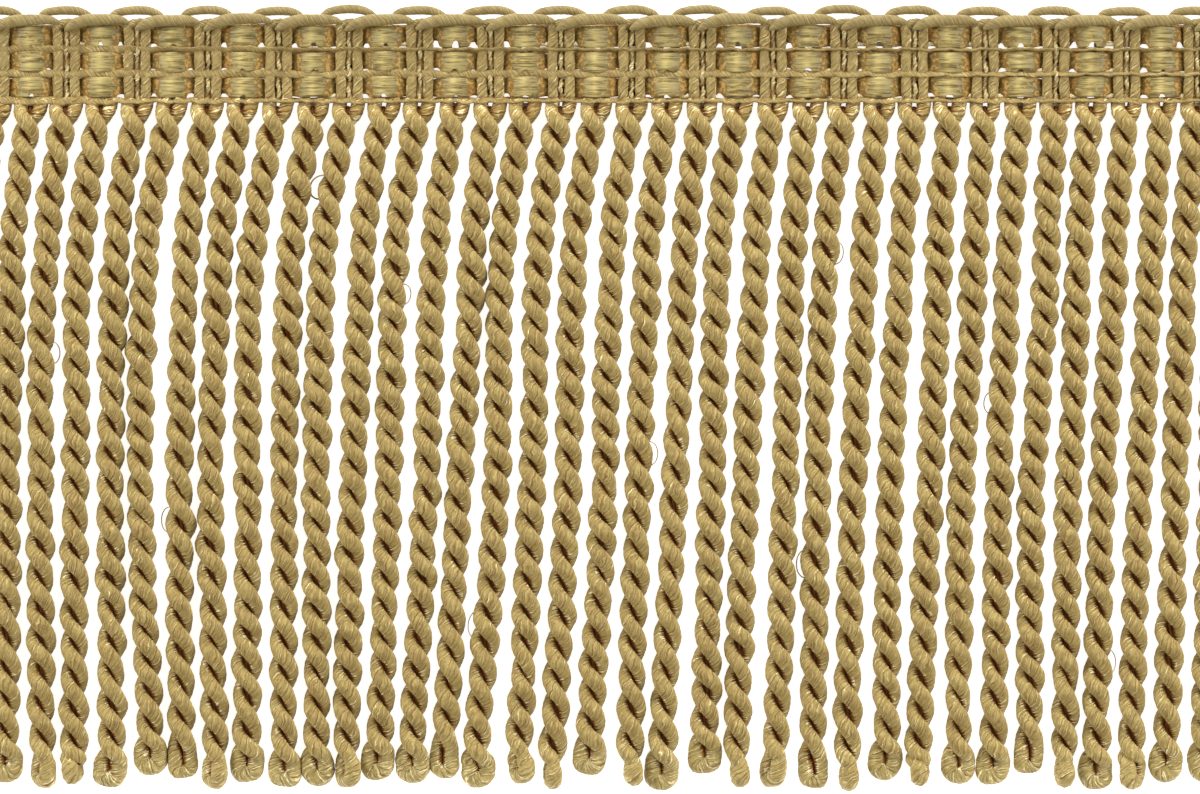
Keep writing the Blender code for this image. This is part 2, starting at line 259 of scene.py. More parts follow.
class Yarns:
    """Gathers tubes and ribbons that become one mesh with its yarn coordinates."""

    def __init__(self):
        self.points, self.quads, self.uvs, self.painted_shade = [], [], [], []
        self.count = 0

    def grid(self, points, painted_shade, along, round_share, closed):
        """Add rows of points; closed rows wrap round into a tube with capped ends."""
        rows, columns = points.shape[:2]
        index = self.count + np.arange(rows * columns).reshape(rows, columns)
        last = columns if closed else columns - 1
        for column in range(last):
            following = (column + 1) % columns
            quad = np.stack([
                index[:-1, column], index[:-1, following], index[1:, following], index[1:, column]
            ], axis=1)
            left, right = round_share[column], round_share[column + 1]
            uv = np.empty((rows - 1, 4, 2))
            uv[:, 0] = np.stack([along[:-1], np.full(rows - 1, left)], axis=1)
            uv[:, 1] = np.stack([along[:-1], np.full(rows - 1, right)], axis=1)
            uv[:, 2] = np.stack([along[1:], np.full(rows - 1, right)], axis=1)
            uv[:, 3] = np.stack([along[1:], np.full(rows - 1, left)], axis=1)
            self.quads.append(quad)
            self.uvs.append(uv)
        self.points.append(points.reshape(-1, 3))
        self.painted_shade.append(np.broadcast_to(painted_shade, (rows, columns)).reshape(-1))
        self.count += rows * columns
        return index

    def fan(self, ring, middle, painted_shade, along, towards_start):
        """Close one end of a tube round a middle point."""
        centre = self.count
        self.points.append(np.asarray(middle, float)[None])
        self.painted_shade.append(np.array([painted_shade]))
        self.count += 1
        following = np.roll(ring, -1)
        if towards_start:
            ring, following = following, ring
        centres = np.full(len(ring), centre)
        corners = np.stack([ring, following, centres, centres], axis=1)
        self.quads.append(corners)
        uv = np.zeros((len(ring), 4, 2))
        uv[:, :, 0] = along
        self.uvs.append(uv)

    def tube(self, path, radius, row_step, sides, flat=1.0, up=(0, 0, 1), ridge=None, painted_shade=None, seed=0):
        """Add a yarn along a path. radius may change along it, flat squeezes it along up."""
        stations, along = even_steps(path, row_step)
        line = resampled(path, along, stations)
        width = resampled(np.broadcast_to(radius, len(path)), along, stations)
        first, second = moving_frame(line, up)
        angle = np.linspace(0, 2 * PI, sides, endpoint=False)
        swell = width[:, None] * np.ones(sides)
        if ridge is not None:
            swell = swell + ridge(stations[:, None], angle[None, :], seed)
        points = (
            line[:, None, :]
            + first[:, None, :] * (np.cos(angle) * swell * flat)[:, :, None]
            + second[:, None, :] * (np.sin(angle) * swell)[:, :, None]
        )
        # Each point's painted shade: how much its colour is darkened for lying deep between yarns
        depth = np.zeros((len(line), sides)) if painted_shade is None else painted_shade(points, stations / stations[-1])
        share = np.linspace(0, 1, sides + 1)
        index = self.grid(points, depth, stations, share, closed=True)
        self.fan(index[0], line[0], depth[0].mean(), stations[0], True)
        self.fan(index[-1], line[-1], depth[-1].mean(), stations[-1], False)

    def build(self, name, material):
        """Make the gathered rows into one object that shades smooth."""
        points = np.vstack(self.points) * MM
        quads = np.vstack(self.quads)
        uvs = np.vstack([uv.reshape(-1, 4, 2) for uv in self.uvs])
        triangle = quads[:, 2] == quads[:, 3]
        corner_count = np.where(triangle, 3, 4)
        keep = np.ones(quads.shape, bool)
        keep[triangle, 3] = False
        mesh = bpy.data.meshes.new(name)
        mesh.vertices.add(len(points))
        mesh.vertices.foreach_set("co", points.ravel())
        mesh.loops.add(int(corner_count.sum()))
        mesh.loops.foreach_set("vertex_index", quads[keep])
        mesh.polygons.add(len(quads))
        starts = np.concatenate([[0], np.cumsum(corner_count)[:-1]])
        mesh.polygons.foreach_set("loop_start", starts)
        mesh.polygons.foreach_set("use_smooth", np.ones(len(quads), bool))
        mesh.update(calc_edges=True)
        layer = mesh.uv_layers.new(name="yarn")
        layer.data.foreach_set("uv", uvs[keep].ravel())
        # The painted shade of each point, read by the materials
        depth = mesh.attributes.new("painted_shade", "FLOAT", "POINT")
        depth.data.foreach_set("value", np.concatenate(self.painted_shade).astype(np.float32))
        mesh.validate()
        mesh.materials.append(material)
        thing = bpy.data.objects.new(name, mesh)
        bpy.context.scene.collection.objects.link(thing)
        return thing


def yarn_ridge(lay, strands, height, lumps):
    """Return the relief of a twisted yarn: ridges that wind round it and soft lumps."""
    def relief(along, angle, seed):
        wander = 0.8 * np.sin(along * 1.1 + seed * 1.7) + 0.5 * np.sin(along * 2.3 + angle + seed * 0.7)
        wave = np.cos(strands * (2 * PI * along / lay + angle) + wander)
        lump = np.sin(along * 1.9 + seed * 2.1 + 2 * angle) * np.sin(along * 0.83 + seed + angle)
        return height * wave + lumps * lump
    return relief


def spread_apart(places, widths):
    """Push neighbours apart, half each, until no cord sinks into the next."""
    places = list(places)
    for _ in range(200):
        for left in range(len(places) - 1):
            lack = (widths[left] + widths[left + 1]) / 2 - (places[left + 1] - places[left])
            if lack > 0:
                places[left] -= lack / 2
                places[left + 1] += lack / 2
    return places


def cord_routes():
    """Return, for each cord, its X at each of the lean stations."""
    columns = []
    for station in range(len(LEAN_STATIONS)):
        places = []
        for index, cord in enumerate(CORDS):
            leans = (0.0, cord.upper * EARLY_LEAN_SHARE, cord.upper, cord.middle, cord.foot, cord.tip)
            places.append(root_x(index) + leans[station])
        at_tip = station == len(LEAN_STATIONS) - 1
        widths = [ENDS[cord.end].width if at_tip else TOUCHING for cord in CORDS]
        columns.append(spread_apart(places, widths))
    return np.array(columns).T


def build_cord(index, route, material):
    """Build one cord: a ply goes down in a helix, round the end loop and up as the other ply."""
    cord = CORDS[index]
    end = ENDS[cord.end]
    rng = np.random.default_rng(100 + index)
    stations = np.array(LEAN_STATIONS)
    fine = smooth_through(np.stack([stations, route], axis=1), 20)

    # Knots of the twist: at each slot the plies lie side by side
    last_slot = cord.length - end.slot
    share = np.arange(cord.beads) / (cord.beads - 1)
    slots = FIRST_SLOT + (last_slot - FIRST_SLOT) * share * (1 - TWIST_SLACKENING * (1 - share) / 2)
    slots[1:-1] += rng.normal(0, SLOT_JITTER, cord.beads - 2)
    foot = cord.length + TIP_FLATTENING - end.yarn - end.drop
    side = 1 if index % 3 else -1
    final_turn = PI / 2 - side * end.turned
    neck, shoulder = cord.length - end.neck, cord.length - end.shoulder
    drops = np.concatenate([[-0.6, 0.9], slots, [neck, shoulder, foot]])
    turns = np.concatenate([
        [-PI / 2, -PI / 2], PI / 2 + PI * np.arange(cord.beads),
        [PI * cord.beads, PI * cord.beads + 0.9 * final_turn, PI * cord.beads + final_turn],
    ])
    drop = np.linspace(-0.6, foot, 1500)
    phase = np.interp(drop, drops, turns)
    phase = smoothed(phase, 15)
    phase += TWIST_EVENNESS * np.sin(2 * phase) * (1 - blend(neck - 1.0, neck, drop))

    # The axis, and how far the plies stand from it
    axis_x = np.interp(drop, fine[:, 0], fine[:, 1])
    beyond = drop > LEAN_STATIONS[-1]
    slope = (route[-1] - route[-2]) / (LEAN_STATIONS[-1] - LEAN_STATIONS[-2]) * 0.4
    axis_x[beyond] = route[-1] + slope * (drop[beyond] - LEAN_STATIONS[-1])
    sway = np.interp(drop, np.concatenate([[0.0], slots, [foot]]), rng.normal(0, 0.08, len(slots) + 2))
    axis_x += sway * blend(1, 5, drop)
    settle = blend(neck - 0.2, shoulder + 1.0, drop)
    across = HELIX_ACROSS + 0.17 * (1 - blend(0.4, 2.4, drop))
    bead_size = rng.normal(0, 0.085, len(slots) + 4)
    across = across + np.interp(drop, np.concatenate([[-1.0, 0.0], slots, [foot, foot + 1]]), bead_size)
    across = across + 0.05 * np.sin(drop * 0.71 + index * 2.1) * blend(3, 6, drop)
    across = across + (end.radius - across) * settle
    deep = HELIX_DEEP + (end.radius - HELIX_DEEP) * settle
    final_phase = phase[-1]
    axis_z = ROOT_Z + (PLY_RADIUS + HELIX_DEEP + 0.05 - ROOT_Z) * blend(0.0, 2.2, drop)
    low_z = end.yarn + 0.12 + end.radius * abs(math.cos(final_phase))
    axis_z = axis_z + (low_z - axis_z) * settle

    width = 0.94 + (PLY_RADIUS - 0.94) * blend(0.0, 2.0, drop)
    width = width + PLY_SQUEEZE * np.cos(2 * phase) * blend(0.5, 3.0, drop) * (1 - settle)
    width = width + (end.yarn - PLY_RADIUS) * settle
    width = width * (1 - KNOB_WAIST * math.sin(end.turned) * np.exp(-((drop - shoulder) / 0.55) ** 2))
    knots = np.linspace(-1.0, foot + 1.0, 2 * cord.beads)
    width = width * (1 + np.interp(drop, knots, rng.normal(0, 0.035, len(knots))) * (1 - settle))
    axis_z = np.maximum(axis_z, width + deep * np.abs(np.cos(phase)) + 0.05)

    axis = np.stack([axis_x, HEADING_LOW - drop, axis_z], axis=1)
    outward = np.stack([across * np.sin(phase), np.zeros_like(drop), deep * np.cos(phase)], axis=1)
    bend = np.linspace(0, PI, 80)[1:-1, None]
    squareness = rng.uniform(*LOOP_SQUARENESS)
    sideways = np.sign(np.cos(bend)) * np.abs(np.cos(bend)) ** squareness
    downwards = np.sin(bend) ** squareness
    sideways = sideways + rng.normal(0, LOOP_SKEW) * downwards
    direction = outward[-1] / np.linalg.norm(outward[-1])
    below = np.array([0.0, -end.drop, 0.0])
    turn_back = axis[-1] + end.radius * sideways * direction + downwards * below
    path = np.vstack([axis + outward, turn_back, (axis - outward)[::-1]])
    centre = np.vstack([axis, np.repeat(axis[-1:], len(turn_back), axis=0), axis[::-1]])
    lumps = 1 + LOOP_LUMPS * np.sin(4.0 * bend[:, 0] + rng.uniform(0, 2 * PI)) * np.sin(bend[:, 0])
    width = np.concatenate([width, width[-1] * lumps, width[::-1]])

    lengths = np.concatenate([[0.0], np.cumsum(np.linalg.norm(np.diff(path, axis=0), axis=1))])
    lengths /= lengths[-1]

    # Painted shade in the slots is strongest where the plies lie side by side, and weaker close under the
    # heading
    slot_openness = blend(0.44, 0.90, np.abs(np.sin(phase))) * (0.42 + 0.58 * blend(0.8, 2.6, drop))
    # Painted shade on the plies just below the heading, darkest at their roots
    root_painted_shade = 0.30 * (1 - blend(0.5, 3.0, drop))
    root_painted_shade = np.concatenate([root_painted_shade, np.zeros(len(turn_back)), root_painted_shade[::-1]])
    slot_openness = np.concatenate([slot_openness, np.ones(len(turn_back)), slot_openness[::-1]])

    def painted_shade(points, share_along):
        """Return each point's painted shade: how deep between the plies it lies, where shade falls."""
        middle = np.stack([np.interp(share_along, lengths, centre[:, axis]) for axis in range(3)], axis=1)
        offset = points - middle[:, None, :]
        in_loop = (share_along > lengths[len(axis_x)]) & (share_along < lengths[-len(axis_x) - 1])
        offset[~in_loop, :, 1] = 0.0
        reach = np.where(in_loop, 0.98, 1.26)[:, None]
        deep_between = 1 - blend(0.41 * reach, reach, np.linalg.norm(offset, axis=2))
        openness = np.interp(share_along, lengths, slot_openness)
        root_shade_here = np.interp(share_along, lengths, root_painted_shade)[:, None]
        return np.maximum(deep_between * (0.12 + 0.88 * openness)[:, None], root_shade_here)

    yarns = Yarns()
    yarns.tube(
        path, width, CORD_ROW, CORD_SIDES, ridge=yarn_ridge(CORD_LAY, 4, 0.020, 0.045),
        painted_shade=painted_shade, seed=index * 1.37,
    )
    # A dark tube of painted shade lies in the middle of the twist, where the two plies press together
    inside = (drop > 0.55) & (drop < neck)
    core = axis[inside] - np.array([0.0, 0.0, 0.10])
    yarns.tube(core, CORE_RADIUS, 1.0, 5, painted_shade=lambda points, share: np.ones(points.shape[:2]))
    # A dark plug of painted shade closes the hole of the end loop in four cords of five
    if index % 5:
        shade_plug = axis[-1] + np.array([0.0, 0.0, -0.30])
        away = np.array([0.0, 0.75, 0.0])
        yarns.tube(
            np.array([shade_plug + away, shade_plug, shade_plug - away]), 0.42, 0.4, 6,
            painted_shade=lambda points, share: np.ones(points.shape[:2]),
        )
    return declare(yarns.build(f"cord_{index:02d}", material), ["bullion_skirt"])


# Filaments that stand out beside a cord: its number in the row, the side, where the filament
# leaves it below the heading, how much further down it comes back, its reach from the axis
# and its radius
Filament = namedtuple("Filament", "cord side drop span reach radius")
FILAMENTS = (
    Filament(10, -1, 9.4, 3.1, 2.75, 0.12),
    Filament(2, 1, 31.0, 3.0, 2.3, 0.07),
    Filament(6, -1, 52.5, 3.4, 2.4, 0.07),
    Filament(12, 1, 23.5, 2.8, 2.3, 0.08),
    Filament(15, -1, 66.0, 3.6, 2.4, 0.07),
    Filament(19, 1, 44.0, 3.2, 2.35, 0.07),
    Filament(24, 1, 18.0, 3.0, 2.3, 0.07),
    Filament(24, -1, 58.0, 3.8, 2.5, 0.08),
    Filament(29, -1, 37.5, 3.0, 2.3, 0.07),
    Filament(32, 1, 71.0, 3.4, 2.4, 0.07),
)


def build_filaments(routes, material):
    """Build the few stray filaments that loop out beside the cords."""
    yarns = Yarns()
    for number, hair in enumerate(FILAMENTS):
        fine = smooth_through(np.stack([np.array(LEAN_STATIONS), routes[hair.cord]], axis=1), 20)
        share = np.linspace(0, PI, 26)
        drop = hair.drop + hair.span * (0.5 - 0.5 * np.cos(share))
        from_axis = 0.9 + (hair.reach - 0.9) * np.sin(share) ** 0.7
        x = np.interp(drop, fine[:, 0], fine[:, 1]) + hair.side * from_axis
        z = 1.7 + 0.5 * np.cos(share + number)
        path = np.stack([x, HEADING_LOW - drop, z], axis=1)
        yarns.tube(path, hair.radius, 0.25, 6, seed=number)
    return declare(yarns.build("stray_filaments", material), ["bullion_skirt"])


def new_material(name):
    """Return a new material, its node tree and its Principled shader."""
    material = bpy.data.materials.new(name)
    material.use_nodes = True
    tree = material.node_tree
    return material, tree, tree.nodes["Principled BSDF"]


def add_node(tree, kind, **settings):
    """Add a node and set its properties or its inputs' values."""
    node = tree.nodes.new(kind)
    for key, value in settings.items():
        if key.startswith("in_"):
            node.inputs[int(key[3:])].default_value = value
        else:
            setattr(node, key, value)
    return node


def maths(tree, operation, first, second=None, third=None):
    """Add a maths node; each operand is a socket or a number. Return its output."""
    node = add_node(tree, "ShaderNodeMath", operation=operation)
    for slot_number, operand in enumerate((first, second, third)):
        if operand is None:
            continue
        if isinstance(operand, (int, float)):
            node.inputs[slot_number].default_value = operand
        else:
            tree.links.new(operand, node.inputs[slot_number])
    return node.outputs[0]


def mix_colour(tree, factor, first, second, mode="MIX"):
    """Mix two colours, each a socket or a tuple. Return the mixed colour's socket."""
    node = add_node(tree, "ShaderNodeMix", data_type="RGBA", blend_type=mode)
    for socket, value in ((node.inputs[0], factor), (node.inputs[6], first), (node.inputs[7], second)):
        if isinstance(value, tuple):
            socket.default_value = (*value, 1.0)
        elif isinstance(value, (int, float)):
            socket.default_value = value
        else:
            tree.links.new(value, socket)
    return node.outputs[2]


def noise(tree, coordinates, size_mm, detail=2.0):
    """Return a noise value whose features are about size_mm wide."""
    node = add_node(tree, "ShaderNodeTexNoise")
    node.inputs["Scale"].default_value = 1 / (size_mm * MM)
    node.inputs["Detail"].default_value = detail
    tree.links.new(coordinates, node.inputs["Vector"])
    return node.outputs[0]


def smooth_step(tree, value, start, end):
    """Rise smoothly from 0 to 1 as a socket's value goes from start to end."""
    node = add_node(tree, "ShaderNodeMapRange", interpolation_type="SMOOTHSTEP", in_1=start, in_2=end)
    tree.links.new(value, node.inputs[0])
    return node.outputs[0]


def colour_ramp(tree, value, stops):
    """Look up a value from 0 to 1 in a list of (place, colour) stops."""
    ramp = add_node(tree, "ShaderNodeValToRGB")
    elements = ramp.color_ramp.elements
    while len(elements) < len(stops):
        elements.new(0.5)
    for element, (place, colour) in zip(elements, stops):
        element.position = place
        element.color = (*colour, 1.0)
    tree.links.new(value, ramp.inputs[0])
    return ramp.outputs[0]


# Heights between which a crossing ply is darkened with painted shade that evens out the stronger light on
# its top, in millimetres, and by how much in tone
CROSSING_LOW = 2.7
CROSSING_HIGH = 3.8
CROSSING_PAINTED_SHADE = 0.13
# Places along the depth between which the loops are painted lighter, in millimetres, and by how much
FOOT_HIGH = -43.0
FOOT_LOW = -47.0
FOOT_PAINTED_LIGHT = 0.11
# How deep between the plies, from 0 to 1, the painted highlight on the rim, the painted brown shade and the
# deepest painted brown begin and are complete
RIM_DEPTHS = (0.02, 0.16)
SHADE_DEPTHS = (0.10, 0.60)
DEEPEST_DEPTHS = (0.35, 0.80)


def yarn_material(name, tones, deep, lay, strands, bump=0.05, roughness=0.55, contrast=1.0, sheen=0.15):
    """Make a yarn whose filaments wind round it once in each lay, in several sizes.

    tones runs from the grooves to the crests, and strands lists how many ridges of each size there are
    round the yarn, the coarsest first. deep is the brown of the painted shade deep between the plies.
    """
    material, tree, shader = new_material(name)
    place = add_node(tree, "ShaderNodeTexCoord").outputs["Object"]
    uv = add_node(tree, "ShaderNodeUVMap", uv_map="yarn").outputs[0]
    split = add_node(tree, "ShaderNodeSeparateXYZ")
    tree.links.new(uv, split.inputs[0])
    along, around = split.outputs[0], split.outputs[1]
    broad = noise(tree, place, 1.3, 2.0)
    fine = noise(tree, place, 0.32, 2.0)
    turns = maths(tree, "MULTIPLY_ADD", along, 1 / lay, around)
    turns = maths(tree, "MULTIPLY_ADD", broad, 0.26, turns)
    turns = maths(tree, "MULTIPLY_ADD", fine, 0.035, turns)

    # Streaks that follow the filaments: noise on a cylinder that turns with them
    angle = maths(tree, "MULTIPLY", turns, 2 * PI)
    streaks = []
    for size, stretch in ((1.5, 0.5), (4.2, 1.1)):
        cell = add_node(tree, "ShaderNodeCombineXYZ")
        tree.links.new(maths(tree, "MULTIPLY", maths(tree, "COSINE", angle), size), cell.inputs[0])
        tree.links.new(maths(tree, "MULTIPLY", maths(tree, "SINE", angle), size), cell.inputs[1])
        tree.links.new(maths(tree, "MULTIPLY", along, stretch), cell.inputs[2])
        streak = add_node(tree, "ShaderNodeTexNoise")
        streak.inputs["Scale"].default_value = 1.0
        streak.inputs["Detail"].default_value = 2.0
        tree.links.new(cell.outputs[0], streak.inputs["Vector"])
        streaks.append(maths(tree, "MULTIPLY_ADD", streak.outputs[0], 4.0, -2.0))

    relief = maths(tree, "MULTIPLY_ADD", streaks[0], 0.42, maths(tree, "MULTIPLY", streaks[1], 0.62))
    for number, count in enumerate(strands):
        phase = maths(tree, "MULTIPLY_ADD", turns, 2 * PI * count, 1.7 * number)
        strength = noise(tree, place, 0.7 + 0.37 * number, 1.0)
        strength = maths(tree, "MULTIPLY_ADD", strength, 1.3, -0.35)
        relief = maths(tree, "ADD", relief, maths(tree, "MULTIPLY", maths(tree, "SINE", phase), strength))
    height = maths(tree, "MULTIPLY_ADD", relief, 0.5, 0.5)

    patches = noise(tree, place, 2.4, 3.0)
    tufts = noise(tree, place, 0.8, 1.0)
    tone = maths(tree, "MULTIPLY_ADD", relief, 0.34 * contrast, 0.10)
    tone = maths(tree, "MULTIPLY_ADD", patches, 0.30, tone)
    tone = maths(tree, "MULTIPLY_ADD", tufts, 0.56 * contrast, tone)
    depth = add_node(tree, "ShaderNodeAttribute", attribute_name="painted_shade").outputs["Fac"]
    # Painted highlight: filaments that catch the light where they turn in between the plies
    painted_rim_highlight = noise(tree, place, 1.0, 1.0)
    painted_rim_highlight = maths(tree, "MAXIMUM", maths(tree, "MULTIPLY_ADD", painted_rim_highlight, 3.0, -1.45), 0.0)
    painted_rim_highlight = maths(tree, "MULTIPLY", painted_rim_highlight, smooth_step(tree, depth, *RIM_DEPTHS))
    tone = maths(tree, "MULTIPLY_ADD", painted_rim_highlight, 0.62 * contrast, tone)
    # Painted shade: a ply is darkened where it rises high to cross over the other one, to even out the
    # stronger light on its top
    height_parts = add_node(tree, "ShaderNodeSeparateXYZ")
    tree.links.new(place, height_parts.inputs[0])
    crossing = smooth_step(tree, height_parts.outputs[2], CROSSING_LOW * MM, CROSSING_HIGH * MM)
    tone = maths(tree, "MULTIPLY_ADD", crossing, -CROSSING_PAINTED_SHADE, tone)
    # The untwisted loops at the feet of the cords are looser; painted light makes them lighter, for the
    # light they catch
    foot = smooth_step(tree, height_parts.outputs[1], FOOT_HIGH * MM, FOOT_LOW * MM)
    tone = maths(tree, "MULTIPLY_ADD", foot, FOOT_PAINTED_LIGHT, tone)
    places = (0.0, 0.30, 0.55, 0.80, 1.0)
    colour = colour_ramp(tree, tone, list(zip(places, tones)))
    # Painted shade: brown deep between the plies, broken by the filaments' relief
    ragged = maths(tree, "MULTIPLY_ADD", relief, -0.32, depth)
    shade = smooth_step(tree, ragged, *SHADE_DEPTHS)
    bottom = mix_colour(tree, smooth_step(tree, ragged, *DEEPEST_DEPTHS), SHADE_AMBER_BROWN, deep)
    colour = mix_colour(tree, shade, colour, bottom)
    tree.links.new(colour, shader.inputs["Base Color"])

    raised = add_node(tree, "ShaderNodeBump")
    raised.inputs["Strength"].default_value = 1.0
    raised.inputs["Distance"].default_value = bump * MM
    tree.links.new(height, raised.inputs["Height"])
    tree.links.new(raised.outputs[0], shader.inputs["Normal"])
    shader.inputs["Roughness"].default_value = roughness
    # Less sheen and gloss inside the painted shade
    bare = maths(tree, "MULTIPLY_ADD", shade, -sheen, sheen)
    tree.links.new(bare, shader.inputs["Sheen Weight"])
    shader.inputs["Sheen Roughness"].default_value = 0.5
    shader.inputs["Sheen Tint"].default_value = (0.90, 0.70, 0.36, 1.0)
    gloss = maths(tree, "MULTIPLY_ADD", shade, -0.32, 0.34)
    tree.links.new(gloss, shader.inputs["Specular IOR Level"])
    return material


def declare(piece, nodes):
    """Fix a finished piece to the trim's one body, in place of the solids it stands for."""
    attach(piece, "root")
    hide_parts(*nodes)
    return piece


def build_uprights(material):
    """Build the plies that run up through the heading, two for each cord."""
    yarns = Yarns()
    low, high = HEADING_LOW - 0.5, from_row(27.0)
    for index in range(CORD_COUNT):
        in_front = index % 2 == 0
        z = UPRIGHT_FRONT_Z if in_front else UPRIGHT_BACK_Z
        for side in (-1, 1):
            seed = index * 2 + side
            steps = np.linspace(0, 1, 40)
            y = low + (high - low) * steps
            sway = 0.05 * np.sin(y * 0.9 + seed)
            x = root_x(index) + side * (UPRIGHT_SPACING + sway)
            nipped = np.zeros_like(y)
            for pixel_row in BINDING_ROWS:
                nipped = np.maximum(nipped, np.exp(-((y - from_row(pixel_row)) / 0.42) ** 2))
            foot_z = 0.98 + (z - 0.98) * blend(0.0, 0.10, steps) - 0.16 * nipped * (steps > 0.08)
            width = UPRIGHT_WIDTH * (1 + 0.05 * np.sin(y * 1.7 + seed * 2.0) - 0.10 * nipped)
            if in_front and side < 0:
                turn_over = blend(from_row(33), from_row(26), y)
                x = x - 0.12 * turn_over
                end_x = np.array([0.20, 0.75, 1.45, 2.1]) + x[-1]
                end_y = np.array([0.22, 0.42, 0.60, 0.72]) + y[-1]
                x, y = np.concatenate([x, end_x]), np.concatenate([y, end_y])
                foot_z = np.concatenate([foot_z, [z, z + 0.02, z - 0.05, z - 0.2]])
                width = np.concatenate([width, [0.66, 0.64, 0.58, 0.45]])
            path = np.stack([x, y, foot_z], axis=1)

            def painted_shade(points, share_along, middle=root_x(index) + side * UPRIGHT_SPACING, z=z):
                """Painted shade: darken the sides low between neighbours, but neither face."""
                sideways = np.abs(points[:, :, 0] - middle) / UPRIGHT_WIDTH
                level = np.abs(points[:, :, 2] - z) / UPRIGHT_DEPTH
                sides = 0.45 * blend(0.86, 1.05, sideways) * (1 - blend(0.35, 0.95, level))
                return np.where(points[:, :, 1] > from_row(27), 0.0, sides)

            yarns.tube(
                path, width, UPRIGHT_ROW, UPRIGHT_SIDES, flat=UPRIGHT_DEPTH / UPRIGHT_WIDTH,
                ridge=yarn_ridge(UPRIGHT_LAY, 5, 0.060, 0.02), painted_shade=painted_shade, seed=seed,
            )
    return declare(yarns.build("heading_uprights", material), ["heading_band"])


# Pixel rows of the ground yarns, the pale threads below the blocks and over the cords, and the
# top and foot of the tie threads
GROUND_ROWS = (25.8, 51.0, 75.8, 99.0)
PALE_ROWS = (43.5, 70.0, 95.4)
ROOT_PALE_ROW = 105.2
TIE_TOP_ROW = 29.0
TIE_FOOT_ROW = 101.0

# Rows of satin ribbon, from the top of one to its foot, in the photograph's pixel rows
RIBBON_ROWS = ((25.5, 47.4), (52.0, 72.2), (76.7, 97.2))
RIBBON_HEIGHT = (
    (0.0, 1.76), (0.6, 1.72), (1.2, 1.60), (1.7, 1.42), (2.1, 1.24), (2.45, 1.06), (2.85, 0.80),
    (3.4, 0.36), (4.6, 0.28)
)
RIBBON_THICKNESS = 0.13
RIBBON_STEP = 0.23
RIBBON_FILAMENTS = 12
PINHOLE_OFFSETS = (-2.45, 0.0, 2.35)
PINHOLE_SHARES = (0.72, 0.50, 0.36)
PINHOLE_RISES = (0.62, 0.42, 0.36)


def build_ribbons(material):
    """Build the three satin ribbons that pass over every other cord's plies and under the rest."""
    yarns = Yarns()
    knots = np.array(RIBBON_HEIGHT)
    for row, (top_row, low_row) in enumerate(RIBBON_ROWS):
        x = np.linspace(TRIM_LEFT, TRIM_LEFT + TRIM_LENGTH, int(TRIM_LENGTH / RIBBON_STEP) + 1)
        from_block = from_block_middle(x)
        z = np.interp(from_block, knots[:, 0], knots[:, 1])
        z = smoothed(z, 2)
        block = np.round((x - root_x(1)) / PERIOD)
        jitter = 0.09 * np.sin(block * 2.3 + row * 1.9)
        top, low = from_row(top_row) + jitter, from_row(low_row) + 0.4 * jitter
        rng = np.random.default_rng(40 + row)
        for block_number in range(CORD_COUNT // 2):
            for offset, open_share in zip(PINHOLE_OFFSETS, PINHOLE_SHARES):
                if rng.random() > open_share:
                    continue
                raised = PINHOLE_RISES[row] * rng.uniform(0.6, 1.3)
                hole_x = root_x(1) + block_number * PERIOD + offset + rng.normal(0, 0.10)
                hole_width = rng.uniform(0.26, 0.50)
                low = low + raised * np.exp(-((x - hole_x) / hole_width) ** 6)
        pinch = blend(1.7, 2.8, from_block)
        half = (top - low) / 2 * (1 - 0.12 * pinch)
        middle = (top + low) / 2
        across = np.linspace(-1, 1, RIBBON_FILAMENTS)
        comb = 0.03 * np.cos(np.arange(RIBBON_FILAMENTS) * PI + row)
        dome = 0.13 * (1 - across ** 2) * (1 - pinch)[:, None]
        bow = 0.05 * np.sin(block * 1.3 + row)[:, None] * (1 - (from_block / 2.3) ** 2)[:, None]
        y = middle[:, None] + half[:, None] * across + bow * (1 - pinch)[:, None]
        face_z = z[:, None] + dome + comb * (0.5 + 0.5 * (1 - pinch))[:, None]
        back_z = face_z - RIBBON_THICKNESS * (1 - 0.7 * np.abs(across) ** 3)
        x_grid = np.broadcast_to(x[:, None], y.shape)
        face = np.stack([x_grid, y, face_z], axis=2)
        back = np.stack([x_grid, y, back_z], axis=2)[:, ::-1]
        points = np.concatenate([face, back], axis=1)
        # Painted shade: amber where the ribbon dives beside its block, and a little along its edges
        painted_shade = 0.74 * blend(1.05, 2.0, from_block)[:, None] * np.ones(points.shape[1])
        painted_shade = painted_shade + 0.05 * blend(0.82, 1.0, np.abs(np.concatenate([across, across[::-1]])))
        share = np.concatenate([(across + 1) / 2, (across[::-1] + 1) / 2, [0.0]])
        along = x - TRIM_LEFT
        index = yarns.grid(points[:, ::-1], painted_shade[:, ::-1], along, share[::-1], closed=True)
        yarns.fan(index[0], points[0].mean(axis=0), 0.3, along[0], True)
        yarns.fan(index[-1], points[-1].mean(axis=0), 0.3, along[-1], False)
    return declare(yarns.build("heading_satin", material), ["heading_band"])


# Between which values of the noise the satin's light filaments, its amber and deep streaks of painted shade
# and its golden flecks begin and are complete
SATIN_RELIEF = (0.66, 1.08)
AMBER_STREAKS = (0.02, 0.62)
DEEP_STREAKS = (0.70, 1.10)
GOLDEN_FLECKS = (0.46, 0.66)


